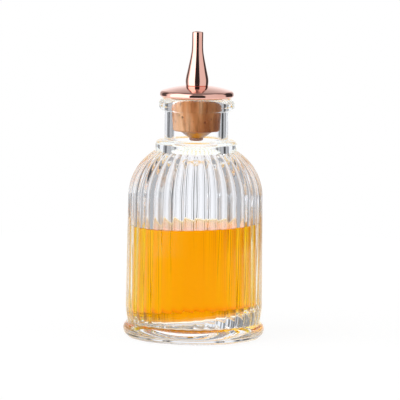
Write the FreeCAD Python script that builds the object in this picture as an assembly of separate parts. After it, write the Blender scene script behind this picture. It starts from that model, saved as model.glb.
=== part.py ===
import FreeCAD, Part
import math
import os

# A 100 ml bitters bottle: a ribbed pressed-glass bottle closed by a dasher stopper.
# The stopper is a clamped stack. A hollow stem passes up through a cone washer, the
# cork and the domed disc, and screws into the spout, which draws them all together.
# Frame: +Z up along the bottle's axis, origin at the centre of the foot. Millimetres.

# Glass foot and ribbed body
FOOT_RADIUS = 29.5
FOOT_HEIGHT = 6.6
FOOT_ROUND = 3.4
FOOT_TOP_ROUND = 3.1
BODY_RADIUS = 28.5          # at the rib crests, above the heel
BODY_DRAFT = 0.5            # shrinkage of the crest radius up to the shoulder
HEEL_RADIUS = 30.0          # the ribs curve in towards the foot
HEEL_TURN = 17.0            # degrees of that curve
SHOULDER_Z = 59.0           # where the straight body turns into the shoulder
SHOULDER_RADIUS = 22.0
RIB_COUNT = 38
RIB_DEPTH = 0.85            # crest to valley at the shoulder
HEEL_RIB_DEPTH = 0.4        # crest to valley at the foot
PUNT_RADIUS = 24.0          # hollow under the foot, inside its bearing ring
PUNT_DEPTH = 4.0

# Glass collar, neck and lip
COLLAR_RADIUS = 17.0
COLLAR_HEIGHT = 4.4         # above the rib crests
COLLAR_ROUND = 1.7
NECK_RADIUS = 13.3
NECK_HEIGHT = 12.3
NECK_ROOT_ROUND = 0.8
LIP_RADIUS = 15.7
LIP_HEIGHT = 5.3
LIP_TOP_ROUND = 2.3
LIP_BOTTOM_ROUND = 2.0
MOUTH_ROUND = 0.7

# Inside of the glass
WALL = 5.2                  # behind the rib valleys
BASE_THICKNESS = 10.0       # at the edge of the cavity floor
FLOOR_DIP = 2.5             # hollow of that floor towards its middle
FLOOR_ROUND = 3.0
BORE_RADIUS = 10.5
BORE_ROOT_ROUND = 3.0
SEAT_DEPTH = 5.0            # tapered seat that the cork wedges into

# Liquid
FILL_HEIGHT = 36.0          # above the edge of the cavity floor
FILL_GAP = 0.05             # to the glass

# Cork
CORK_LENGTH = 14.0
CORK_TAPER = 0.09           # radius gained per millimetre of height
CORK_CHAMFER = 0.5
CORK_CLEARANCE = 0.1        # to the glass seat

# Domed disc
DISC_RADIUS = 15.4
DISC_RIM = 2.35
DISC_EDGE_ROUND = 0.9       # under the rim
DISC_TOP_ROUND = 1.5        # from the rim into the dome
DISC_RISE = 2.35            # rim to the flat that carries the spout
DISC_GAP = 0.4              # lip to disc

# Spout
SPOUT_HEIGHT = 22.5
SPOUT_FOOT_RADIUS = 4.65
SPOUT_BELLY_RADIUS = 4.72
SPOUT_BELLY_HEIGHT = 2.8
SPOUT_WAIST_RADIUS = 3.75
SPOUT_WAIST_HEIGHT = 7.5
SPOUT_THROAT_RADIUS = 2.45
SPOUT_THROAT_HEIGHT = 14.6
SPOUT_TIP_RADIUS = 2.3
SPOUT_TIP_ROUND = 0.45
OUTLET_RADIUS = 1.25
OUTLET_LENGTH = 9.0
SOCKET_DEPTH = 6.0          # threaded length that takes the stem

# Hollow stem and cone washer
STEM_RADIUS = 2.2
STEM_BORE_RADIUS = 1.4
STEM_CLEARANCE = 0.05       # in each hole that it passes through
STEM_END_GAP = 0.3          # stem top to the socket's end
STEM_HEAD_RADIUS = 2.9
STEM_HEAD_HEIGHT = 1.5
STEM_HEAD_ROUND = 0.8
WASHER_RADIUS = 6.5
WASHER_RIM = 0.6
WASHER_HEIGHT = 3.0
WASHER_LAND = 0.4           # flat left around the stem's head

# Rings that the ribbed lofts run through
HEEL_RINGS = 4
SHOULDER_RINGS = 8

# Radii and levels that follow from the sizes above
BODY_TOP_RADIUS = BODY_RADIUS - BODY_DRAFT
SHOULDER_CENTRE = BODY_TOP_RADIUS - SHOULDER_RADIUS
CAVITY_INSET = RIB_DEPTH + WALL
HEEL_Z = FOOT_HEIGHT - FOOT_TOP_ROUND / 2
COLLAR_Z = SHOULDER_Z + math.sqrt(SHOULDER_RADIUS**2 - (COLLAR_RADIUS - SHOULDER_CENTRE) ** 2)
NECK_Z = COLLAR_Z + COLLAR_HEIGHT
LIP_Z = NECK_Z + NECK_HEIGHT
LIP_TOP = LIP_Z + LIP_HEIGHT
SEAT_Z = LIP_TOP - SEAT_DEPTH
MOUTH_RADIUS = BORE_RADIUS + SEAT_DEPTH * CORK_TAPER
FILL_Z = BASE_THICKNESS + FILL_HEIGHT
DISC_Z = LIP_TOP + DISC_GAP
CORK_Z = DISC_Z - CORK_LENGTH
RIM_Z = DISC_Z + DISC_RIM
SPOUT_Z = RIM_Z + DISC_RISE
STEM_HOLE_RADIUS = STEM_RADIUS + STEM_CLEARANCE
STEM_TOP = SPOUT_Z + SOCKET_DEPTH - STEM_END_GAP
WASHER_Z = CORK_Z - WASHER_HEIGHT
STEM_Z = WASHER_Z - STEM_HEAD_HEIGHT


def point(radius, z):
    """A point of a half section, in the XZ plane."""
    return FreeCAD.Vector(radius, 0, z)


def line(start, end):
    return Part.LineSegment(start, end).toShape()


def arc(start, middle, end):
    return Part.Arc(start, middle, end).toShape()


def arc_about(centre, start, end):
    """The shorter arc from start to end about a centre."""
    middle = (start - centre) + (end - centre)
    radius = start.distanceToPoint(centre)
    return arc(start, centre + middle.normalize() * radius, end)


def round_corner(before, corner, after, radius):
    """Start, middle and end of the arc that rounds a corner."""
    back = (before - corner).normalize()
    ahead = (after - corner).normalize()
    half = back.getAngle(ahead) / 2
    reach = radius / math.tan(half)
    bisector = (back + ahead).normalize()
    centre = corner + bisector * (radius / math.sin(half))
    return corner + back * reach, centre - bisector * radius, corner + ahead * reach


def path(*corners):
    """Lines through (radius, z) corners; a third number rounds that corner."""
    spots = [point(*corner[:2]) for corner in corners]
    edges = []
    pen = spots[0]
    for i in range(1, len(corners)):
        end = spots[i]
        if len(corners[i]) > 2:
            end, middle, beyond = round_corner(spots[i - 1], spots[i], spots[i + 1], corners[i][2])
        edges.append(line(pen, end))
        pen = end
        if len(corners[i]) > 2:
            edges.append(arc(end, middle, beyond))
            pen = beyond
    return edges


def spin(edges):
    """The solid that a closed half section sweeps about the Z axis."""
    face = Part.Face(Part.Wire(edges))
    return face.revolve(FreeCAD.Vector(0, 0, 0), FreeCAD.Vector(0, 0, 1), 360)


def only_solid(shape):
    """The single solid that a boolean or a fillet leaves."""
    (solid,) = shape.Solids
    return solid


def level_edges(shape, radius):
    """The level edges of a turned shape that have a given radius."""
    close = 0.001
    level = [edge for edge in shape.Edges if edge.BoundBox.ZLength < close]
    return [edge for edge in level if abs(edge.BoundBox.XMax - radius) < close]


def turned(*corners):
    """A solid of revolution through rounded corners; the first one stays sharp."""
    return spin(path(*corners, corners[0][:2]))


def rib_ring(crest_radius, z):
    """Closed wire of convex rib arcs, which deepen from the foot to the shoulder and then
    keep their share of the radius."""
    climb = min(1, (z - HEEL_Z) / (SHOULDER_Z - HEEL_Z))
    depth = HEEL_RIB_DEPTH + (RIB_DEPTH - HEEL_RIB_DEPTH) * climb
    valley_radius = crest_radius * (1 - depth / BODY_RADIUS)
    half_pitch = math.pi / RIB_COUNT

    def spot(radius, half_steps):
        angle = half_steps * half_pitch
        return FreeCAD.Vector(radius * math.cos(angle), radius * math.sin(angle), z)

    return Part.Wire(
        [
            arc(spot(valley_radius, i - 1), spot(crest_radius, i), spot(valley_radius, i + 1))
            for i in range(0, 2 * RIB_COUNT, 2)
        ]
    )


def ribbed_body():
    """The curved heel, the drafted body and the round shoulder, each lofted through rib rings."""
    heel_turn = math.radians(HEEL_TURN)
    heel_top = HEEL_Z + HEEL_RADIUS * math.sin(heel_turn)
    shoulder_turn = math.acos((NECK_RADIUS - SHOULDER_CENTRE) / SHOULDER_RADIUS)
    heel = []
    for i in range(HEEL_RINGS):
        turn = heel_turn * (1 - i / (HEEL_RINGS - 1))
        inward = HEEL_RADIUS * (1 - math.cos(turn))
        heel.append(rib_ring(BODY_RADIUS - inward, heel_top - HEEL_RADIUS * math.sin(turn)))
    shoulder = []
    for i in range(SHOULDER_RINGS):
        turn = shoulder_turn * i / (SHOULDER_RINGS - 1)
        radius = SHOULDER_CENTRE + SHOULDER_RADIUS * math.cos(turn)
        shoulder.append(rib_ring(radius, SHOULDER_Z + SHOULDER_RADIUS * math.sin(turn)))
    stages = [heel, [heel[-1], shoulder[0]], shoulder]
    lofts = [Part.makeLoft(rings, True, len(rings) == 2) for rings in stages]
    return lofts[0].fuse(lofts[1:])


def cavity(inset):
    """The space inside the glass below the cork's seat, drawn in by an inset."""
    floor = BASE_THICKNESS + inset
    bottom_radius = BODY_RADIUS - CAVITY_INSET - inset
    top_radius = BODY_TOP_RADIUS - CAVITY_INSET - inset
    bore = BORE_RADIUS - inset
    dome_radius = SHOULDER_RADIUS - CAVITY_INSET - inset
    root_radius = BORE_ROOT_ROUND + inset
    dome_centre = point(SHOULDER_CENTRE, SHOULDER_Z)
    reach = dome_radius + root_radius
    root_rise = math.sqrt(reach**2 - (bore + root_radius - SHOULDER_CENTRE) ** 2)
    root_centre = point(bore + root_radius, SHOULDER_Z + root_rise)
    dome_end = dome_centre + (root_centre - dome_centre) * (dome_radius / reach)
    bore_start = point(bore, root_centre.z)
    dish_radius = (bottom_radius**2 + FLOOR_DIP**2) / (2 * FLOOR_DIP)
    dish_centre = point(0, floor - FLOOR_DIP + dish_radius)
    edges = [arc_about(dish_centre, point(0, floor - FLOOR_DIP), point(bottom_radius, floor))]
    edges += path((bottom_radius, floor), (top_radius, SHOULDER_Z))
    edges.append(arc_about(dome_centre, point(top_radius, SHOULDER_Z), dome_end))
    edges.append(arc_about(root_centre, dome_end, bore_start))
    edges += path((bore, bore_start.z), (bore, SEAT_Z), (0, SEAT_Z), (0, floor - FLOOR_DIP))
    space = spin(edges)
    floor_edge = [edge for edge in level_edges(space, bottom_radius) if edge.BoundBox.ZMax < SHOULDER_Z]
    return only_solid(space.makeFillet(FLOOR_ROUND - inset, floor_edge))


def bottle():
    """Pressed glass: foot, ribbed body, collar, neck and lip round one cavity."""
    foot = turned(
        (0, 0),
        (FOOT_RADIUS, 0, FOOT_ROUND),
        (FOOT_RADIUS, FOOT_HEIGHT, FOOT_TOP_ROUND),
        (0, FOOT_HEIGHT),
    )
    finish = turned(
        (BORE_RADIUS, SHOULDER_Z),
        (COLLAR_RADIUS, SHOULDER_Z),
        (COLLAR_RADIUS, NECK_Z, COLLAR_ROUND),
        (NECK_RADIUS, NECK_Z, NECK_ROOT_ROUND),
        (NECK_RADIUS, LIP_Z),
        (LIP_RADIUS, LIP_Z, LIP_BOTTOM_ROUND),
        (LIP_RADIUS, LIP_TOP, LIP_TOP_ROUND),
        (MOUTH_RADIUS, LIP_TOP, MOUTH_ROUND),
        (BORE_RADIUS, SEAT_Z),
    )
    punt_radius = (PUNT_RADIUS**2 + PUNT_DEPTH**2) / (2 * PUNT_DEPTH)
    punt = Part.makeSphere(punt_radius, point(0, PUNT_DEPTH - punt_radius))
    return only_solid(ribbed_body().fuse([foot, finish]).cut([cavity(0), punt]))


def bitters_fill():
    """Liquid up to its level, as a solid a hair clear of the glass."""
    below = Part.makeCylinder(BODY_RADIUS, FILL_Z)
    return only_solid(cavity(FILL_GAP).common(below))


def cork():
    """Tapered cork, bored for the stem, with its seat radius set by the glass."""

    def radius_at(z):
        return BORE_RADIUS - CORK_CLEARANCE + (z - SEAT_Z) * CORK_TAPER

    lower = CORK_Z + CORK_CHAMFER
    upper = DISC_Z - CORK_CHAMFER
    return turned(
        (STEM_HOLE_RADIUS, CORK_Z),
        (radius_at(lower) - CORK_CHAMFER, CORK_Z),
        (radius_at(lower), lower),
        (radius_at(upper), upper),
        (radius_at(upper) - CORK_CHAMFER, DISC_Z),
        (STEM_HOLE_RADIUS, DISC_Z),
    )


def cap_disc():
    """Solid disc: a shallow dome on a thick rounded rim, with a flat on top for the spout."""
    drop = (DISC_RADIUS**2 - SPOUT_FOOT_RADIUS**2 - DISC_RISE**2) / (2 * DISC_RISE)
    dome_centre = point(0, RIM_Z - drop)
    edges = path(
        (STEM_HOLE_RADIUS, DISC_Z),
        (DISC_RADIUS, DISC_Z, DISC_EDGE_ROUND),
        (DISC_RADIUS, RIM_Z),
    )
    edges.append(arc_about(dome_centre, point(DISC_RADIUS, RIM_Z), point(SPOUT_FOOT_RADIUS, SPOUT_Z)))
    edges += path(
        (SPOUT_FOOT_RADIUS, SPOUT_Z),
        (STEM_HOLE_RADIUS, SPOUT_Z),
        (STEM_HOLE_RADIUS, DISC_Z),
    )
    disc = spin(edges)
    rim_top = max(level_edges(disc, DISC_RADIUS), key=lambda edge: edge.BoundBox.ZMax)
    return only_solid(disc.makeFillet(DISC_TOP_ROUND, [rim_top]))


def spout():
    """Bowling-pin nozzle: a narrow outlet over a threaded socket for the stem."""
    tip = SPOUT_Z + SPOUT_HEIGHT
    outside = Part.BSplineCurve()
    outside.interpolate(
        [
            point(SPOUT_FOOT_RADIUS, SPOUT_Z),
            point(SPOUT_BELLY_RADIUS, SPOUT_Z + SPOUT_BELLY_HEIGHT),
            point(SPOUT_WAIST_RADIUS, SPOUT_Z + SPOUT_WAIST_HEIGHT),
            point(SPOUT_THROAT_RADIUS, SPOUT_Z + SPOUT_THROAT_HEIGHT),
            point(SPOUT_TIP_RADIUS, tip - SPOUT_TIP_ROUND),
        ]
    )
    edges = path((STEM_HOLE_RADIUS, SPOUT_Z), (SPOUT_FOOT_RADIUS, SPOUT_Z))
    edges.append(outside.toShape())
    edges.append(
        arc_about(
            point(SPOUT_TIP_RADIUS - SPOUT_TIP_ROUND, tip - SPOUT_TIP_ROUND),
            point(SPOUT_TIP_RADIUS, tip - SPOUT_TIP_ROUND),
            point(SPOUT_TIP_RADIUS - SPOUT_TIP_ROUND, tip),
        )
    )
    edges += path(
        (SPOUT_TIP_RADIUS - SPOUT_TIP_ROUND, tip),
        (OUTLET_RADIUS, tip),
        (OUTLET_RADIUS, tip - OUTLET_LENGTH),
        (STEM_HOLE_RADIUS, SPOUT_Z + SOCKET_DEPTH),
        (STEM_HOLE_RADIUS, SPOUT_Z),
    )
    return spin(edges)


def stem_tube():
    """Hollow stem whose head bears on the washer and whose top screws into the spout."""
    return turned(
        (STEM_BORE_RADIUS, STEM_Z),
        (STEM_HEAD_RADIUS, STEM_Z, STEM_HEAD_ROUND),
        (STEM_HEAD_RADIUS, WASHER_Z),
        (STEM_RADIUS, WASHER_Z),
        (STEM_RADIUS, STEM_TOP),
        (STEM_BORE_RADIUS, STEM_TOP),
    )


def cone_washer():
    """Shallow cone that spreads the stem's pull over the cork's end."""
    return turned(
        (STEM_HOLE_RADIUS, CORK_Z),
        (WASHER_RADIUS, CORK_Z),
        (WASHER_RADIUS, CORK_Z - WASHER_RIM),
        (STEM_HEAD_RADIUS + WASHER_LAND, WASHER_Z),
        (STEM_HOLE_RADIUS, WASHER_Z),
    )


PIECES = [bottle, bitters_fill, cork, cap_disc, spout, stem_tube, cone_washer]


def main():
    os.makedirs("parts", exist_ok=True)
    for piece in PIECES:
        shape = piece()
        shape.exportStep(f"parts/{piece.__name__}.step")
        print(piece.__name__, shape.ShapeType, shape.isValid(), f"{shape.Volume:.1f} mm3")


main()
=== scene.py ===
import math
from random import Random

import bmesh
import bpy
from mathutils import Euler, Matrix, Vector, noise


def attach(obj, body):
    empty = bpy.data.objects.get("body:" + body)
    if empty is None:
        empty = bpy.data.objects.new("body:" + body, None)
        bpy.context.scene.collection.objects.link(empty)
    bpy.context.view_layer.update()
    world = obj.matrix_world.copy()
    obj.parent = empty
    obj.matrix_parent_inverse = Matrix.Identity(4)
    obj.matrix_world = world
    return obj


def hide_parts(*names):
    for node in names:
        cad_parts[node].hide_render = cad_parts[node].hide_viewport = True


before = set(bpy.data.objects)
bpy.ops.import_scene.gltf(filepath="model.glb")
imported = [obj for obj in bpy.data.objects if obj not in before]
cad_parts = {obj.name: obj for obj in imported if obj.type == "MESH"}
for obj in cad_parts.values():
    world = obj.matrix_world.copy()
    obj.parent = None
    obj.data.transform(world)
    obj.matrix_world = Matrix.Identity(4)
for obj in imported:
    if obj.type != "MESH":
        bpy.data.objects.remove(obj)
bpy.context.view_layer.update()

MM = 0.001

# Sizes in millimetres, as in the part's source
FOOT_RADIUS = 29.5
FOOT_HEIGHT = 6.6
FOOT_ROUND = 3.4
FOOT_TOP_ROUND = 3.1
PUNT_RADIUS = 24.0
PUNT_DEPTH = 4.0
BODY_RADIUS = 28.5
BODY_DRAFT = 0.5
HEEL_RADIUS = 30.0
HEEL_TURN = 17.0            # degrees
SHOULDER_Z = 59.0
SHOULDER_RADIUS = 22.0
RIB_COUNT = 38
RIB_DEPTH = 0.85
HEEL_RIB_DEPTH = 0.4
COLLAR_RADIUS = 17.0
COLLAR_HEIGHT = 4.4
COLLAR_ROUND = 1.7
NECK_RADIUS = 13.3
NECK_HEIGHT = 12.3
NECK_ROOT_ROUND = 0.8
LIP_RADIUS = 15.7
LIP_HEIGHT = 5.3
LIP_TOP_ROUND = 2.3
LIP_BOTTOM_ROUND = 2.0
MOUTH_ROUND = 0.7
WALL = 5.2
BASE_THICKNESS = 10.0
FLOOR_DIP = 2.5
FLOOR_ROUND = 3.0
BORE_RADIUS = 10.5
SEAT_DEPTH = 5.0
FILL_HEIGHT = 36.0
CORK_LENGTH = 14.0
CORK_TAPER = 0.09           # gain in radius per millimetre upwards
CORK_CHAMFER = 0.5
CORK_CLEARANCE = 0.1
DISC_RADIUS = 15.4
DISC_RIM = 2.35
DISC_EDGE_ROUND = 0.9
DISC_TOP_ROUND = 1.5
DISC_RISE = 2.35
DISC_GAP = 0.4
SPOUT_HEIGHT = 22.5
SPOUT_FOOT_RADIUS = 4.65
SPOUT_BELLY_RADIUS = 4.72
SPOUT_BELLY_HEIGHT = 2.8
SPOUT_WAIST_RADIUS = 3.75
SPOUT_WAIST_HEIGHT = 7.5
SPOUT_THROAT_RADIUS = 2.45
SPOUT_THROAT_HEIGHT = 14.6
SPOUT_TIP_RADIUS = 2.3
SPOUT_TIP_ROUND = 0.45
OUTLET_RADIUS = 1.25
OUTLET_LENGTH = 9.0
STEM_RADIUS = 2.2
STEM_BORE_RADIUS = 1.4
STEM_HEAD_RADIUS = 2.9
STEM_HEAD_HEIGHT = 1.5
STEM_HEAD_ROUND = 0.8
SOCKET_DEPTH = 6.0
WASHER_RADIUS = 6.5
WASHER_RIM = 0.6
WASHER_HEIGHT = 3.0
WASHER_LAND = 0.4

# Levels and radii that follow from them
SHOULDER_CENTRE = BODY_RADIUS - BODY_DRAFT - SHOULDER_RADIUS
CAVITY_INSET = RIB_DEPTH + WALL
HEEL_Z = FOOT_HEIGHT - FOOT_TOP_ROUND / 2
HEEL_TOP = HEEL_Z + HEEL_RADIUS * math.sin(math.radians(HEEL_TURN))
COLLAR_Z = SHOULDER_Z + math.sqrt(SHOULDER_RADIUS**2 - (COLLAR_RADIUS - SHOULDER_CENTRE) ** 2)
NECK_Z = COLLAR_Z + COLLAR_HEIGHT
LIP_Z = NECK_Z + NECK_HEIGHT
LIP_TOP = LIP_Z + LIP_HEIGHT
SEAT_Z = LIP_TOP - SEAT_DEPTH
MOUTH_RADIUS = BORE_RADIUS + SEAT_DEPTH * CORK_TAPER
FILL_Z = BASE_THICKNESS + FILL_HEIGHT
DISC_Z = LIP_TOP + DISC_GAP
RIM_Z = DISC_Z + DISC_RIM
SPOUT_Z = RIM_Z + DISC_RISE
SPOUT_TIP_Z = SPOUT_Z + SPOUT_HEIGHT
CORK_Z = DISC_Z - CORK_LENGTH
WASHER_Z = CORK_Z - WASHER_HEIGHT
STEM_Z = WASHER_Z - STEM_HEAD_HEIGHT

# Detail of the dressed glass, in millimetres where a comment says nothing else
RIB_SEGMENTS = 15           # columns of the mesh in each rib
VALLEY_EASE = 0.1           # share of a cosine in the rib's section; the rest is an arc
STIPPLES_PER_RIB = 3
STIPPLE_HEIGHT = 0.18
STIPPLE_POINT = 4           # which point of the foot's lower round the stipple lifts
STIPPLE_WAY = (0.5, -0.87)  # outwards and down
HEEL_STEPS = 10
HEEL_CROWDING = 1.5         # power that draws the mesh's rows together above the foot
LIP_CORNER_HOLD = 0.15      # keeps the corner between the neck and the lip tight
MOUTH_ROUND_END = 188       # degrees; the mouth's round runs a little past upright
THROAT_ROUND = 6.0          # where the neck opens into the body, softer than the solid's
FLOOR_TILT = 0.096          # rise of the glass floor per millimetre towards +X
FLOOR_TILT_FADE = 16.0      # height over which the tilt dies out up the wall
INNER_WAVE = 0.12           # unevenness of the moulded inner wall
INNER_WAVE_LENGTH = 14.0

# Detail of the liquid
FILL_OVERLAP = 0.1
MENISCUS_HEIGHT = 0.45
MENISCUS_WIDTH = 1.0
MENISCUS_STEPS = 10
MENISCUS_FALL = 2.4         # power of the curve that falls from the wall to the level surface
SURFACE_RISE = 0.8          # level of the surface over the solid's
SURFACE_TILT = 0.035        # rise of the surface per millimetre towards +X
SURFACE_TILT_GROWTH = 3     # power at which the tilt grows from the bottom up to the surface
LIQUID_SEGMENTS = 240

# Detail of the cork; a pit's width and length are shares of its size
CORK_ROWS = 72
CORK_SEGMENTS = 360
CORK_GRAIN = 0.06
CORK_GRAIN_SCALE = 22
CORK_SEED = 11
CORK_PITS = 60
PIT_SIZE = (0.15, 0.5)
PIT_WIDTH = (0.6, 1.2)
PIT_LENGTH = (0.8, 3.0)
PIT_DEPTH = 0.7             # depth of a pit for each millimetre of its size
PIT_STEEPNESS = 2
PIT_REACH = 2               # widths and lengths from its middle at which a pit ends
PIT_NEAR = 2.2              # widths within which a column of the mesh looks for pits

# Detail of the metal pieces
EDGE_ROUND = 0.15           # eased edges of the small pieces
DISC_SEGMENTS = 256
DISC_SEAT_RING = 0.4        # ring of the disc's flat top inside the spout's foot
SPOUT_SEGMENTS = 160
OUTLET_CHAMFER = 0.2
STEM_SEGMENTS = 96
STEM_TOP_GAP = 0.5          # end of the stem to the end of its socket, a hidden place
WASHER_SEGMENTS = 128
WASHER_RIM_ROUND = 0.28
WASHER_RIM_TURN = 53        # degrees from the rim's side to where its round meets the cone

MERGE_DISTANCE = 1e-7       # metres
SHARP_ANGLE = 50            # degrees


def arc(centre_r, centre_z, radius, start, end, steps):
    """Points of a half section along an arc, both ends included; angles in degrees."""
    points = []
    for i in range(steps + 1):
        angle = math.radians(start + (end - start) * i / steps)
        points.append((centre_r + radius * math.cos(angle), centre_z + radius * math.sin(angle)))
    return points


def run(start, end, steps):
    """Points of a half section along a straight run, without its ends."""
    return [
        tuple(a + (b - a) * i / steps for a, b in zip(start, end))
        for i in range(1, steps)
    ]


def catmull_rom(knots, steps):
    """Points of a half section on a smooth curve through knots, both ends included."""
    spots = [Vector(knot) for knot in knots]
    spots = [2 * spots[0] - spots[1]] + spots + [2 * spots[-1] - spots[-2]]
    points = []
    for a, b, c, d in zip(spots, spots[1:], spots[2:], spots[3:]):
        for i in range(steps):
            t = i / steps
            p = 0.5 * (
                2 * b
                + (c - a) * t
                + (2 * a - 5 * b + 4 * c - d) * t * t
                + (3 * b - a - 3 * c + d) * t**3
            )
            points.append(tuple(p))
    points.append(tuple(spots[-2]))
    return points


def lathe(name, outline_at, segments):
    """A closed smooth mesh from half sections in millimetres, one per angle round the Z axis."""
    bm = bmesh.new()
    columns = []
    for j in range(segments):
        angle = 2 * math.pi * j / segments
        columns.append(
            [
                bm.verts.new((r * MM * math.cos(angle), r * MM * math.sin(angle), z * MM))
                for r, z in outline_at(angle)
            ]
        )
    for j, column in enumerate(columns):
        after = columns[(j + 1) % segments]
        for i in range(len(column) - 1):
            bm.faces.new((column[i], after[i], after[i + 1], column[i + 1]))
    bmesh.ops.remove_doubles(bm, verts=bm.verts, dist=MERGE_DISTANCE)
    bmesh.ops.recalc_face_normals(bm, faces=bm.faces)
    mesh = bpy.data.meshes.new(name)
    bm.to_mesh(mesh)
    bm.free()
    mesh.polygons.foreach_set("use_smooth", [True] * len(mesh.polygons))
    mesh.set_sharp_from_angle(angle=math.radians(SHARP_ANGLE))
    piece = bpy.data.objects.new(name, mesh)
    bpy.context.scene.collection.objects.link(piece)
    return piece


def rib_share(z, rib):
    """Radius of the ribbed glass as a share of its crests' radius, at a share of the rib's height."""
    up = min(1, (z - HEEL_Z) / (SHOULDER_Z - HEEL_Z))
    depth = HEEL_RIB_DEPTH + (RIB_DEPTH - HEEL_RIB_DEPTH) * up
    return 1 - depth / BODY_RADIUS * (1 - rib)


def heel_crest(z):
    """Radius of the ribs' crests where they curve in at the heel."""
    return BODY_RADIUS - HEEL_RADIUS * (1 - math.cos(math.asin((HEEL_TOP - z) / HEEL_RADIUS)))


def glass_foot(rib, stipple):
    """Outer half section from the middle of the hollow underneath to the top of the foot."""
    punt_sphere = (PUNT_RADIUS**2 + PUNT_DEPTH**2) / (2 * PUNT_DEPTH)
    punt_turn = math.degrees(math.asin(PUNT_RADIUS / punt_sphere))
    points = arc(0, PUNT_DEPTH - punt_sphere, punt_sphere, 90, 90 - punt_turn, steps=8)
    lower = arc(FOOT_RADIUS - FOOT_ROUND, FOOT_ROUND, FOOT_ROUND, -90, 0, steps=14)
    bump = STIPPLE_HEIGHT * stipple
    lower[STIPPLE_POINT] = tuple(
        place + bump * way for place, way in zip(lower[STIPPLE_POINT], STIPPLE_WAY)
    )
    points += lower
    root = heel_crest(FOOT_HEIGHT) * rib_share(FOOT_HEIGHT, rib)
    top_centre = FOOT_RADIUS - FOOT_TOP_ROUND
    top_turn = math.degrees(math.acos(min(1, max(0, (root - top_centre) / FOOT_TOP_ROUND))))
    points += arc(top_centre, FOOT_HEIGHT - FOOT_TOP_ROUND, FOOT_TOP_ROUND, 0, top_turn, steps=12)
    return points


def glass_wall(rib):
    """Outer half section up the ribbed wall and over the shoulder to the collar."""
    points = []
    for i in range(HEEL_STEPS + 1):
        z = FOOT_HEIGHT + (HEEL_TOP - FOOT_HEIGHT) * (i / HEEL_STEPS) ** HEEL_CROWDING
        points.append((heel_crest(z), z))
    points += run((BODY_RADIUS, HEEL_TOP), (BODY_RADIUS - BODY_DRAFT, SHOULDER_Z), steps=14)
    collar_cos = (COLLAR_RADIUS / rib_share(COLLAR_Z, rib) - SHOULDER_CENTRE) / SHOULDER_RADIUS
    collar_turn = math.degrees(math.acos(collar_cos))
    points += arc(SHOULDER_CENTRE, SHOULDER_Z, SHOULDER_RADIUS, 0, collar_turn, steps=24)
    return [(r * rib_share(z, rib), z) for r, z in points]


def glass_neck(collar_foot):
    """Outer half section up the collar, the neck and the lip to the mouth."""
    collar_top = NECK_Z - COLLAR_ROUND
    neck_foot = NECK_Z + NECK_ROOT_ROUND
    lip_low = LIP_Z + LIP_BOTTOM_ROUND
    lip_high = LIP_TOP - LIP_TOP_ROUND
    points = run((COLLAR_RADIUS, collar_foot), (COLLAR_RADIUS, collar_top), steps=5)
    points += arc(COLLAR_RADIUS - COLLAR_ROUND, collar_top, COLLAR_ROUND, 0, 90, steps=10)
    points += arc(NECK_RADIUS + NECK_ROOT_ROUND, neck_foot, NECK_ROOT_ROUND, 270, 180, steps=6)
    points += run((NECK_RADIUS, neck_foot), (NECK_RADIUS, LIP_Z), steps=6)
    points += [(NECK_RADIUS, LIP_Z - LIP_CORNER_HOLD), (NECK_RADIUS, LIP_Z)]
    points.append((NECK_RADIUS + LIP_CORNER_HOLD, LIP_Z))
    points += arc(LIP_RADIUS - LIP_BOTTOM_ROUND, lip_low, LIP_BOTTOM_ROUND, -90, 0, steps=12)
    points += arc(LIP_RADIUS - LIP_TOP_ROUND, lip_high, LIP_TOP_ROUND, 0, 90, steps=12)
    return points


def glass_inside():
    """Inner half section from the mouth down to the middle of the floor."""
    mouth_z = LIP_TOP - MOUTH_ROUND
    points = arc(MOUTH_RADIUS + MOUTH_ROUND, mouth_z, MOUTH_ROUND, 90, MOUTH_ROUND_END, steps=6)
    points += run((MOUTH_RADIUS, mouth_z), (BORE_RADIUS, SEAT_Z), steps=4)
    points.append((BORE_RADIUS, SEAT_Z))
    dome = SHOULDER_RADIUS - CAVITY_INSET
    reach = dome + THROAT_ROUND
    root_r = BORE_RADIUS + THROAT_ROUND
    rise = math.sqrt(reach**2 - (root_r - SHOULDER_CENTRE) ** 2)
    lean = math.degrees(math.atan2(rise, root_r - SHOULDER_CENTRE))
    points += run((BORE_RADIUS, SEAT_Z), (BORE_RADIUS, SHOULDER_Z + rise), steps=8)
    points += arc(root_r, SHOULDER_Z + rise, THROAT_ROUND, 180, 180 + lean, steps=8)
    points += arc(SHOULDER_CENTRE, SHOULDER_Z, dome, lean, 0, steps=20)[1:]
    top_r = BODY_RADIUS - BODY_DRAFT - CAVITY_INSET
    low_r = BODY_RADIUS - CAVITY_INSET
    floor_top = BASE_THICKNESS + FLOOR_ROUND
    points += run((top_r, SHOULDER_Z), (low_r, floor_top), steps=24)
    points += arc(low_r - FLOOR_ROUND, floor_top, FLOOR_ROUND, 0, -90, steps=10)
    points += run((low_r - FLOOR_ROUND, BASE_THICKNESS), (0, BASE_THICKNESS), steps=6)
    points.append((0, BASE_THICKNESS))
    return points


def fade(rise, height):
    """Falls from 1 at the glass floor to 0 at a height over it."""
    return min(1, max(0, 1 - rise / height))


def uneven(points, angle):
    """Cavity points moved as moulded glass is: a tilted, dished floor and gentle waves up the wall."""
    moved = []
    for r, z in points:
        rise = z - BASE_THICKNESS
        tilt = FLOOR_TILT * fade(rise, FLOOR_TILT_FADE) ** 2
        dish = FLOOR_DIP * fade(rise, FLOOR_ROUND)
        sink = dish * (1 - (r / (BODY_RADIUS - CAVITY_INSET)) ** 2)
        spot = Vector((r * math.cos(angle), r * math.sin(angle), z)) / INNER_WAVE_LENGTH
        wave = INNER_WAVE * noise.noise(spot) if z < SHOULDER_Z else 0
        wavy_r = max(0, r + wave) if r > 0 else 0
        moved.append((wavy_r, z + tilt * r * math.cos(angle) - sink))
    return moved


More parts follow.
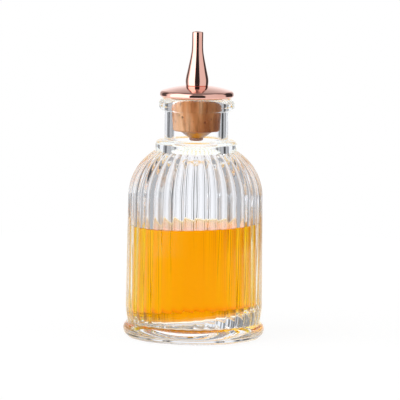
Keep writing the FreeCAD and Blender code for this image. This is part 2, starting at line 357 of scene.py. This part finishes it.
def glass_bottle():
    """Ribbed pressed glass, outside and inside in one closed skin."""
    inside = glass_inside()

    def outline_at(angle):
        pitch = angle * RIB_COUNT / (2 * math.pi)
        off = pitch - round(pitch)
        # Both sections are 1 on a rib's crest and 0 in the valley
        eased = 0.5 + 0.5 * math.cos(2 * math.pi * off)
        bowed = 1 - 4 * off**2
        rib = VALLEY_EASE * eased + (1 - VALLEY_EASE) * bowed
        stipple = abs(math.sin(angle * RIB_COUNT * STIPPLES_PER_RIB / 2))
        points = glass_foot(rib, stipple) + glass_wall(rib)
        points += glass_neck(points[-1][1])
        return points + uneven(inside, angle)

    piece = lathe("glass_bottle", outline_at, RIB_COUNT * RIB_SEGMENTS)
    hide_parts("bottle")
    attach(piece, "bottle")
    return piece


def liquid():
    """Liquid that wets the glass, a hair into its wall, with a raised edge all round."""
    low_r = BODY_RADIUS - CAVITY_INSET + FILL_OVERLAP
    bottom = BASE_THICKNESS - FILL_OVERLAP
    level = FILL_Z + SURFACE_RISE
    wall_top = level + MENISCUS_HEIGHT
    lean = BODY_DRAFT / (SHOULDER_Z - HEEL_TOP)
    top_r = low_r - lean * (wall_top - HEEL_TOP)
    points = [(0, bottom)]
    points += arc(low_r - FLOOR_ROUND, bottom + FLOOR_ROUND, FLOOR_ROUND, -90, 0, steps=10)
    points += run((low_r, bottom + FLOOR_ROUND), (top_r, wall_top), steps=10)
    points.append((top_r, wall_top))
    for i in range(1, MENISCUS_STEPS + 1):
        share = i / MENISCUS_STEPS
        inward = FILL_OVERLAP + MENISCUS_WIDTH * share
        points.append((top_r - inward, level + MENISCUS_HEIGHT * (1 - share) ** MENISCUS_FALL))
    points.append((0, level))

    def outline_at(angle):
        rise = SURFACE_TILT * math.cos(angle)
        tilted = []
        for r, z in points:
            up = max(0, (z - bottom) / (level - bottom))
            tilted.append((r, z + rise * r * up**SURFACE_TILT_GROWTH))
        return uneven(tilted, angle)

    piece = lathe("bitters_liquid", outline_at, LIQUID_SEGMENTS)
    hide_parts("bitters_fill")
    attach(piece, "bottle")
    return piece


def copper_spout():
    """Turned spout with an upright belly, a waist and a straight tip, bored through."""
    round_r = SPOUT_TIP_RADIUS - SPOUT_TIP_ROUND
    round_z = SPOUT_TIP_Z - SPOUT_TIP_ROUND
    side = [
        (SPOUT_FOOT_RADIUS, SPOUT_Z),
        (SPOUT_BELLY_RADIUS, SPOUT_Z + SPOUT_BELLY_HEIGHT),
        (SPOUT_WAIST_RADIUS, SPOUT_Z + SPOUT_WAIST_HEIGHT),
        (SPOUT_THROAT_RADIUS, SPOUT_Z + SPOUT_THROAT_HEIGHT),
        (SPOUT_TIP_RADIUS, round_z),
    ]
    points = [(OUTLET_RADIUS, SPOUT_TIP_Z - OUTLET_LENGTH)]
    points.append((OUTLET_RADIUS, SPOUT_TIP_Z - OUTLET_CHAMFER))
    points.append((OUTLET_RADIUS + OUTLET_CHAMFER, SPOUT_TIP_Z))
    points += arc(round_r, round_z, SPOUT_TIP_ROUND, 90, 0, steps=8)
    points += catmull_rom(side, steps=12)[::-1][1:]
    points[-1] = (SPOUT_FOOT_RADIUS, SPOUT_Z + EDGE_ROUND)
    points.append((SPOUT_FOOT_RADIUS - EDGE_ROUND, SPOUT_Z))
    points.append((OUTLET_RADIUS, SPOUT_Z))
    points.append(points[0])
    piece = lathe("copper_spout", lambda angle: points, SPOUT_SEGMENTS)
    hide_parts("spout")
    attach(piece, "stopper")
    return piece


def copper_disc():
    """Shallow dome on a thick rounded edge."""
    drop = (DISC_RADIUS**2 - SPOUT_FOOT_RADIUS**2 - DISC_RISE**2) / (2 * DISC_RISE)
    sphere = math.hypot(DISC_RADIUS, drop)
    dome_z = RIM_Z - drop
    round_r = DISC_RADIUS - DISC_TOP_ROUND
    round_z = dome_z + math.sqrt((sphere - DISC_TOP_ROUND) ** 2 - round_r**2)
    rim_turn = math.degrees(math.atan2(round_z - dome_z, round_r))
    top_turn = math.degrees(math.atan2(SPOUT_Z - dome_z, SPOUT_FOOT_RADIUS))
    edge = DISC_EDGE_ROUND
    points = [(0, DISC_Z)]
    points += arc(DISC_RADIUS - edge, DISC_Z + edge, edge, -90, 0, steps=10)
    points += arc(round_r, round_z, DISC_TOP_ROUND, 0, rim_turn, steps=14)
    points += arc(0, dome_z, sphere, rim_turn, top_turn, steps=24)[1:]
    points += [(SPOUT_FOOT_RADIUS - DISC_SEAT_RING, SPOUT_Z), (0, SPOUT_Z)]
    piece = lathe("copper_disc", lambda angle: points, DISC_SEGMENTS)
    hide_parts("cap_disc")
    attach(piece, "stopper")
    return piece


def cork_radius(z):
    """Nominal radius of the tapered cork."""
    return BORE_RADIUS - CORK_CLEARANCE + (z - SEAT_Z) * CORK_TAPER


def cork_pits():
    """Lenticels and pores scattered over the cork's side."""
    chance = Random(CORK_SEED)
    pits = []
    for _ in range(CORK_PITS):
        size = chance.uniform(*PIT_SIZE)
        pits.append(
            {
                "angle": chance.uniform(0, 2 * math.pi),
                "z": chance.uniform(CORK_Z, DISC_Z),
                "wide": size * chance.uniform(*PIT_WIDTH),
                "high": size * chance.uniform(*PIT_LENGTH),
                "depth": PIT_DEPTH * size,
            }
        )
    return pits


def turn_from(pit, angle):
    """Angle from a pit to a column of the mesh, by the shorter way round."""
    return (angle - pit["angle"] + math.pi) % (2 * math.pi) - math.pi


def cork_sink(angle, z, pits):
    """Depth of the cork's surface below its nominal one: its grain and its pits."""
    radius = cork_radius(z)
    spot = Vector((math.cos(angle), math.sin(angle), z / radius)) * CORK_GRAIN_SCALE
    depth = CORK_GRAIN * (0.5 + 0.5 * noise.noise(spot))
    for pit in pits:
        across = turn_from(pit, angle) * radius / pit["wide"]
        off = across**2 + ((z - pit["z"]) / pit["high"]) ** 2
        if off < PIT_REACH**2:
            depth += pit["depth"] * math.exp(-PIT_STEEPNESS * off)
    return depth


def cork_outline(angle, pits):
    """Half section of the cork from the middle of its underside to the middle of its top."""
    near = []
    for pit in pits:
        if abs(turn_from(pit, angle)) * BORE_RADIUS < PIT_NEAR * pit["wide"]:
            near.append(pit)
    low_r = cork_radius(CORK_Z)
    points = [(0, CORK_Z), (low_r / 2, CORK_Z), (low_r - CORK_CHAMFER, CORK_Z)]
    for i in range(CORK_ROWS + 1):
        z = CORK_Z + CORK_CHAMFER + (CORK_LENGTH - 2 * CORK_CHAMFER) * i / CORK_ROWS
        points.append((cork_radius(z) - cork_sink(angle, z, near), z))
    points += [(cork_radius(DISC_Z) - CORK_CHAMFER, DISC_Z), (0, DISC_Z)]
    return points


def mark_sunk(piece):
    """Keeps how far each point of the cork's side is sunk, for the colour of its pits."""
    sunk = piece.data.attributes.new("sunk", "FLOAT", "POINT")
    for vertex, value in zip(piece.data.vertices, sunk.data):
        z = vertex.co.z / MM
        on_side = CORK_Z + CORK_CHAMFER / 2 < z < DISC_Z - CORK_CHAMFER / 2
        value.value = cork_radius(z) - math.hypot(vertex.co.x, vertex.co.y) / MM if on_side else 0


def cork_stopper():
    """Tapered cork with lenticels and pores, sunk below its nominal surface and never proud of it."""
    pits = cork_pits()
    piece = lathe("cork_stopper", lambda angle: cork_outline(angle, pits), CORK_SEGMENTS)
    mark_sunk(piece)
    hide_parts("cork")
    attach(piece, "stopper")
    return piece


def metal_washer():
    """Pressed cone washer with a rounded rim against the cork."""
    rim_r = WASHER_RADIUS - WASHER_RIM_ROUND
    rim_low = CORK_Z - WASHER_RIM + WASHER_RIM_ROUND
    land = STEM_HEAD_RADIUS + WASHER_LAND
    points = [(STEM_RADIUS, CORK_Z)]
    points += arc(rim_r, CORK_Z - WASHER_RIM_ROUND, WASHER_RIM_ROUND, 90, 0, steps=6)
    points += arc(rim_r, rim_low, WASHER_RIM_ROUND, 0, -WASHER_RIM_TURN, steps=6)
    points += run(points[-1], (land, WASHER_Z + EDGE_ROUND), steps=6)
    points += [(land, WASHER_Z + EDGE_ROUND), (land - EDGE_ROUND, WASHER_Z), (STEM_RADIUS, WASHER_Z)]
    points.append(points[0])
    piece = lathe("metal_washer", lambda angle: points, WASHER_SEGMENTS)
    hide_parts("cone_washer")
    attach(piece, "stopper")
    return piece


def copper_stem():
    """Hollow stem with a rounded head under the washer; its top is hidden in the spout."""
    top = SPOUT_Z + SOCKET_DEPTH - STEM_TOP_GAP
    round_r = STEM_HEAD_RADIUS - STEM_HEAD_ROUND
    edge_r = STEM_HEAD_RADIUS - EDGE_ROUND
    points = [(STEM_BORE_RADIUS, top), (STEM_BORE_RADIUS, STEM_Z + EDGE_ROUND)]
    points.append((STEM_BORE_RADIUS + EDGE_ROUND, STEM_Z))
    points += arc(round_r, STEM_Z + STEM_HEAD_ROUND, STEM_HEAD_ROUND, -90, 0, steps=6)
    points += arc(edge_r, WASHER_Z - EDGE_ROUND, EDGE_ROUND, 0, 90, steps=4)
    points += [(STEM_RADIUS, WASHER_Z), (STEM_RADIUS, top)]
    points.append(points[0])
    piece = lathe("copper_stem", lambda angle: points, STEM_SEGMENTS)
    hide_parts("stem_tube")
    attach(piece, "stopper")
    return piece


def feed(tree, socket, value):
    """Gives an input socket another node's output or a plain value."""
    if isinstance(value, bpy.types.NodeSocket):
        tree.links.new(value, socket)
    else:
        socket.default_value = value


def set_up(tree, node, **values):
    """Sets a node's properties, and its inputs, which are the names with a capital."""
    for name, value in values.items():
        if name[0].isupper():
            feed(tree, node.inputs[name.replace("_", " ")], value)
        else:
            setattr(node, name, value)
    return node


def add(tree, kind, **values):
    """A new shader node, set up."""
    return set_up(tree, tree.nodes.new("ShaderNode" + kind), **values)


def math_node(tree, operation, *values):
    """The result of a Math node on outputs or numbers."""
    node = add(tree, "Math", operation=operation)
    for socket, value in zip(node.inputs, values):
        feed(tree, socket, value)
    return node.outputs[0]


def mix_shaders(tree, share, first, second):
    """One shader that turns from the first to the second as the share goes from 0 to 1."""
    node = add(tree, "MixShader", Fac=share)
    feed(tree, node.inputs[1], first.outputs[0])
    feed(tree, node.inputs[2], second.outputs[0])
    return node


def ramp(tree, value, *stops):
    """The colour at a value on a ramp through (position, colour) stops."""
    node = add(tree, "ValToRGB", Fac=value)
    elements = node.color_ramp.elements
    while len(elements) < len(stops):
        elements.new(0.5)
    for element, (position, colour) in zip(elements, stops):
        element.position = position
        element.color = (*colour, 1)
    return node.outputs["Color"]


def material(name):
    """A new material, its node tree and its shader."""
    mat = bpy.data.materials.new(name)
    mat.use_nodes = True
    return mat, mat.node_tree, mat.node_tree.nodes["Principled BSDF"]


# Colours of the glass and the liquid are what passes through; the densities are per metre
WHITE = (1, 1, 1)
GLASS_TINT = (0.42, 0.55, 0.68)
GLASS_DENSITY = 4.5
GLASS_INDEX = 1.5
GLASS_GLOSS = 0.06
AMBER = (0.999, 0.93, 0)
AMBER_DENSITY = 320
LIQUID_INDEX = 1.36
LIQUID_GLOSS = 0.08
COPPER = (0.93, 0.54, 0.46)
COPPER_WORN = (0.88, 0.48, 0.4)
# copper of the stem: a dull finish, and darker than the spout's copper as painted shade
DULL_SHADED_COPPER = (0.5, 0.3, 0.24)
DULL_SHADED_COPPER_WORN = (0.36, 0.2, 0.15)
PRESSED_METAL = (0.56, 0.4, 0.33)
PRESSED_METAL_WORN = (0.42, 0.28, 0.22)
CORK_BROWN = (0.58, 0.19, 0.06)
CORK_ORANGE = (0.86, 0.36, 0.13)
CORK_TAN = (0.97, 0.56, 0.3)
CORK_PIT = (0.2, 0.06, 0.02)
CORK_STREAK = (0.5, 0.4, 0.34)
CORK_PALE_STREAK = (0.9, 0.88, 0.86)
CORK_BAND_TURN = 32         # degrees round the axis, so that the bands lie as in the photo


def clear_material(name, index, gloss, tint, density):
    """Something clear that keeps back some of the light on its way through."""
    mat, tree, shader = material(name)
    set_up(tree, shader, Base_Color=(*WHITE, 1), Transmission_Weight=1, Roughness=0)
    set_up(tree, shader, IOR=index, Specular_Tint=(gloss, gloss, gloss, 1))
    absorb = add(tree, "VolumeAbsorption", Color=(*tint, 1), Density=density)
    set_up(tree, tree.nodes["Material Output"], Volume=absorb.outputs["Volume"])
    return mat, tree, shader


def glass_material():
    """Clear pressed glass with the faint waves of the mould."""
    mat, tree, shader = clear_material(
        "pressed_glass", GLASS_INDEX, GLASS_GLOSS, GLASS_TINT, GLASS_DENSITY
    )
    place = add(tree, "TexCoord").outputs["Object"]
    waves = add(tree, "TexNoise", Vector=place, Scale=60, Detail=2)
    bump = add(tree, "Bump", Height=waves.outputs["Fac"], Strength=0.06, Distance=0.001)
    set_up(tree, shader, Normal=bump.outputs["Normal"])
    return mat


def liquid_material():
    """Clear amber liquid, deeper in colour where it is thicker."""
    return clear_material("amber_bitters", LIQUID_INDEX, LIQUID_GLOSS, AMBER, AMBER_DENSITY)[0]


def metal_material(name, colour, worn, roughness):
    """Polished metal: fine turning marks, faint smudges and a slight drift of colour."""
    mat, tree, shader = material(name)
    place = add(tree, "TexCoord").outputs["Object"]
    smudge = add(tree, "TexNoise", Vector=place, Scale=140, Detail=4).outputs["Fac"]
    tint = ramp(tree, smudge, (0.3, worn), (0.6, colour))
    polish = add(tree, "MapRange", Value=smudge, To_Min=roughness * 0.7, To_Max=roughness * 1.5)
    squeeze = add(tree, "Mapping", Vector=place, Scale=(0.15, 0.15, 6))
    marks = add(tree, "TexNoise", Vector=squeeze.outputs["Vector"], Scale=900, Detail=2)
    bump = add(tree, "Bump", Height=marks.outputs["Fac"], Strength=0.05, Distance=0.00005)
    set_up(tree, shader, Metallic=1, Base_Color=tint)
    set_up(tree, shader, Roughness=polish.outputs["Result"], Normal=bump.outputs["Normal"])
    return mat


def cork_material():
    """Natural cork: upright bands of tan and orange brown, dark in the pits, with a grainy surface."""
    mat, tree, shader = material("natural_cork")
    set_up(tree, shader, Roughness=0.75, Specular_IOR_Level=0.25)
    place = add(tree, "TexCoord").outputs["Object"]
    turn = (0, 0, math.radians(CORK_BAND_TURN))
    upright = add(tree, "Mapping", Vector=place, Rotation=turn, Scale=(1, 1, 0.14)).outputs["Vector"]
    bands = add(tree, "TexNoise", Vector=upright, Scale=150, Detail=2)
    tone = ramp(tree, bands.outputs["Fac"], (0.4, CORK_BROWN), (0.5, CORK_ORANGE), (0.6, CORK_TAN))
    streaks = add(tree, "TexNoise", Vector=upright, Scale=700, Detail=5, Roughness=0.65).outputs["Fac"]
    grain = ramp(tree, streaks, (0.3, CORK_STREAK), (0.5, CORK_PALE_STREAK), (0.66, WHITE))
    streaked = add(tree, "Mix", data_type="RGBA", blend_type="MULTIPLY", Factor=0.85, A=tone, B=grain)
    pits = add(tree, "Attribute", attribute_name="sunk")
    deep = add(tree, "MapRange", Value=pits.outputs["Fac"], From_Min=CORK_GRAIN, From_Max=0.3)
    shaded = add(tree, "Mix", data_type="RGBA", Factor=deep.outputs["Result"], B=(*CORK_PIT, 1))
    set_up(tree, shaded, A=streaked.outputs["Result"])
    bump = add(tree, "Bump", Height=streaks, Strength=0.5, Distance=0.0001)
    set_up(tree, shader, Base_Color=shaded.outputs["Result"], Normal=bump.outputs["Normal"])
    return mat


# Studio seen from the object, in degrees: azimuth from the camera's side towards +X, from and to,
# elevation from and to, and strength. Later cards lie over earlier ones.
REFLECTED_CARDS = [
    (-164, -96, -10, 40, 0.5),
    (96, 164, -10, 40, 0.5),
    (-106, -20, -90, 60, 1.1),
    (-92, -22, -90, 60, 2.1),
    (24, 100, -90, 60, 0.85),
    (-23, 27, -25, 32, 0.03),
    (104, 148, -14, 36, 0.05),
    (-140, -112, -14, 36, 0.1),
]
SEEN_THROUGH_CARDS = [
    (-200, 200, 30, 90, 0.45),
    (-162, 162, -11, 30, 0.7),
    (-150, 150, -11, 30, 0.5),
    (125, 138, -11, 30, 0.05),
    (-148, -136, -11, 30, 0.12),
    (152, 158, -11, 30, 0.1),
    (-158, -152, -11, 30, 0.1),
    (-106, -20, -90, 60, 2.7),
    (20, 100, -90, 60, 0.4),
]
SEEN_THROUGH_TINT = (0.95, 0.96, 1)
CARD_SOFTNESS = math.radians(3)
ZENITH = 90
CEILING_LIGHT = 0.25
CEILING_FROM = 13           # elevation at which the backdrop starts to darken
CEILING_TO = 50
BACKDROP_LIGHT = 1.05


def past(tree, value, edge):
    """Softly from 0 to 1 as a value passes an edge."""
    node = add(tree, "MapRange", interpolation_type="SMOOTHSTEP", Value=value)
    set_up(tree, node, From_Min=edge - CARD_SOFTNESS, From_Max=edge + CARD_SOFTNESS)
    return node.outputs["Result"]


def lit_by(tree, azimuth, height, cards, light):
    """Strength of the studio in each direction: a light with cards laid over it."""
    for left, right, low, high, strength in cards:
        top = math.sin(math.radians(high))
        if high == ZENITH:
            top += 2 * CARD_SOFTNESS  # such a card has no upper edge
        card = past(tree, azimuth, math.radians(left))
        for inside in (
            math_node(tree, "SUBTRACT", 1, past(tree, azimuth, math.radians(right))),
            past(tree, height, math.sin(math.radians(low))),
            math_node(tree, "SUBTRACT", 1, past(tree, height, top)),
        ):
            card = math_node(tree, "MULTIPLY", card, inside)
        light = add(tree, "Mix", Factor=card, A=light, B=strength).outputs["Result"]
    return light


def studio_world():
    """White to the camera; to everything else a white room with soft boxes and dark gaps."""
    world = bpy.data.worlds.new("studio")
    bpy.context.scene.world = world
    world.use_nodes = True
    tree = world.node_tree
    way = add(tree, "SeparateXYZ", Vector=add(tree, "TexCoord").outputs["Generated"])
    height = way.outputs["Z"]
    toward_camera = math_node(tree, "MULTIPLY", way.outputs["Y"], -1)
    azimuth = math_node(tree, "ARCTAN2", way.outputs["X"], toward_camera)
    ceiling = add(tree, "MapRange", Value=height, To_Min=BACKDROP_LIGHT, To_Max=CEILING_LIGHT)
    set_up(
        tree,
        ceiling,
        From_Min=math.sin(math.radians(CEILING_FROM)),
        From_Max=math.sin(math.radians(CEILING_TO)),
    )
    reflected = lit_by(tree, azimuth, height, REFLECTED_CARDS, ceiling.outputs["Result"])
    seen_through = lit_by(tree, azimuth, height, SEEN_THROUGH_CARDS, BACKDROP_LIGHT)
    room = set_up(tree, tree.nodes["Background"], Color=(*WHITE, 1), Strength=reflected)
    through = add(tree, "Background", Color=(*SEEN_THROUGH_TINT, 1), Strength=seen_through)
    backdrop = add(tree, "Background", Color=(*WHITE, 1))
    ray = add(tree, "LightPath")
    shader = mix_shaders(tree, ray.outputs["Is Transmission Ray"], room, through)
    shader = mix_shaders(tree, ray.outputs["Is Camera Ray"], shader, backdrop)
    set_up(tree, tree.nodes["World Output"], Surface=shader.outputs[0])


# Floor: sizes and distances from the bottle's axis in millimetres
FLOOR_RADIUS = 360
FLOOR_SEGMENTS = 96
FLOOR_DROP = 0.1            # keeps the floor just clear of the foot
FLOOR_GREY = (0.9, 0.9, 0.9)
FLOOR_WHITE = 1.08
FLOOR_GLOW = 0.85           # share of the floor's own white; the rest takes light and shadow
SIDE_SHADE_FROM = -30            # seen through glass, painted shade on the floor deepens from here towards -X
SIDE_SHADE_TO = -200
# colour of the painted shade on the floor's far side
SIDE_SHADE = (0.65, 0.42, 0.25)
FOOT_GLOW = 1.45            # light that the glass gathers on the floor under the foot
FOOT_GLOW_RADIUS = 26
FOOT_GLOW_END = 32
FOOT_AMBER = (1, 0.62, 0.16)  # light that the liquid throws on the floor round the foot
FOOT_AMBER_FROM = 38
FOOT_AMBER_TO = 58
FOOT_AMBER_END = 85


def floor_material():
    """White to the camera and in reflections; through glass, painted light under and round the foot and
    painted shade to one side.
    """
    mat, tree, shader = material("white_floor")
    set_up(tree, shader, Base_Color=(*FLOOR_GREY, 1), Roughness=0.9, Specular_IOR_Level=0)
    place = add(tree, "TexCoord").outputs["Object"]
    across = add(tree, "SeparateXYZ", Vector=place).outputs["X"]
    side = add(tree, "MapRange", Value=across, From_Min=SIDE_SHADE_FROM * MM, From_Max=SIDE_SHADE_TO * MM)
    white = (FLOOR_WHITE, FLOOR_WHITE, FLOOR_WHITE)
    # painted shade, seen through glass, deepening towards -X
    side_shade = ramp(tree, side.outputs["Result"], (0, white), (1, SIDE_SHADE))
    distance = add(tree, "VectorMath", operation="LENGTH", Vector=place)
    foot_light = ramp(
        tree,
        distance.outputs["Value"],
        (FOOT_GLOW_RADIUS * MM, (FOOT_GLOW, FOOT_GLOW, FOOT_GLOW)),
        (FOOT_GLOW_END * MM, WHITE),
        (FOOT_AMBER_FROM * MM, FOOT_AMBER),
        (FOOT_AMBER_TO * MM, FOOT_AMBER),
        (FOOT_AMBER_END * MM, WHITE),
    )
    shaded = add(tree, "Mix", data_type="RGBA", blend_type="MULTIPLY", Factor=1, A=side_shade, B=foot_light)
    ray = add(tree, "LightPath")
    through_glass = ray.outputs["Is Transmission Ray"]
    seen = add(tree, "Mix", data_type="RGBA", Factor=through_glass, A=(*white, 1))
    set_up(tree, seen, B=shaded.outputs["Result"])
    glow = add(tree, "Emission", Color=seen.outputs["Result"])
    looked_at = math_node(tree, "MAXIMUM", ray.outputs["Is Camera Ray"], ray.outputs["Is Glossy Ray"])
    looked_at = math_node(tree, "MAXIMUM", looked_at, through_glass)
    share = math_node(tree, "MULTIPLY", looked_at, FLOOR_GLOW)
    surface = mix_shaders(tree, share, shader, glow)
    set_up(tree, tree.nodes["Material Output"], Surface=surface.outputs[0])
    return mat


def floor():
    """Round white floor that the bottle stands on."""
    bm = bmesh.new()
    bmesh.ops.create_circle(bm, cap_ends=True, segments=FLOOR_SEGMENTS, radius=FLOOR_RADIUS * MM)
    mesh = bpy.data.meshes.new("floor")
    bm.to_mesh(mesh)
    bm.free()
    piece = bpy.data.objects.new("floor", mesh)
    piece.location.z = -FLOOR_DROP * MM
    bpy.context.scene.collection.objects.link(piece)
    mesh.materials.append(floor_material())


# Camera: its place in millimetres, its field of view from the photo's scale
CAMERA_DISTANCE = 1500
CAMERA_HEIGHT = 225
SENSOR_WIDTH = 36
IMAGE_PIXELS = 400
PIXEL_SIZE = 0.4196         # millimetres at the bottle's axis
AIM_PIXEL = (195.3, 335.8)  # where the middle of the foot lies in the photo
ROLL = 0.85                 # degrees


def camera():
    """Camera at the photo's viewing angle, aimed so that the foot lies where the photo has it."""
    data = bpy.data.cameras.new("camera")
    cam = bpy.data.objects.new("camera", data)
    bpy.context.scene.collection.objects.link(cam)
    bpy.context.scene.camera = cam
    here = Vector((0, -CAMERA_DISTANCE, CAMERA_HEIGHT)) * MM
    distance = here.length
    data.sensor_width = SENSOR_WIDTH
    data.lens = SENSOR_WIDTH * distance / (IMAGE_PIXELS * PIXEL_SIZE * MM)
    middle = IMAGE_PIXELS / 2
    turn_x = math.atan((middle - AIM_PIXEL[0]) * PIXEL_SIZE * MM / distance)
    turn_z = math.atan((AIM_PIXEL[1] - middle) * PIXEL_SIZE * MM / distance)
    pitch = math.atan2(CAMERA_HEIGHT, CAMERA_DISTANCE) - turn_z
    cam.location = here
    cam.rotation_euler = Euler((math.pi / 2 - pitch, 0, -turn_x))
    cam.rotation_euler.rotate_axis("Z", math.radians(ROLL))


copper = metal_material("rose_copper", COPPER, COPPER_WORN, roughness=0.06)
# the stem's copper: dull, its darker colour painted shade
dull_shaded_copper = metal_material("dull_shaded_copper", DULL_SHADED_COPPER, DULL_SHADED_COPPER_WORN, roughness=0.45)
pressed_metal = metal_material("pressed_metal", PRESSED_METAL, PRESSED_METAL_WORN, roughness=0.36)
finishes = [
    (glass_bottle(), glass_material()),
    (liquid(), liquid_material()),
    (cork_stopper(), cork_material()),
    (copper_disc(), copper),
    (copper_spout(), copper),
    (copper_stem(), dull_shaded_copper),
    (metal_washer(), pressed_metal),
]
for piece, finish in finishes:
    piece.data.materials.append(finish)
studio_world()
floor()
camera()
bpy.context.scene.view_settings.view_transform = "Standard"
light_paths = bpy.context.scene.cycles
light_paths.max_bounces = 40
light_paths.glossy_bounces = 24
light_paths.transmission_bounces = 32
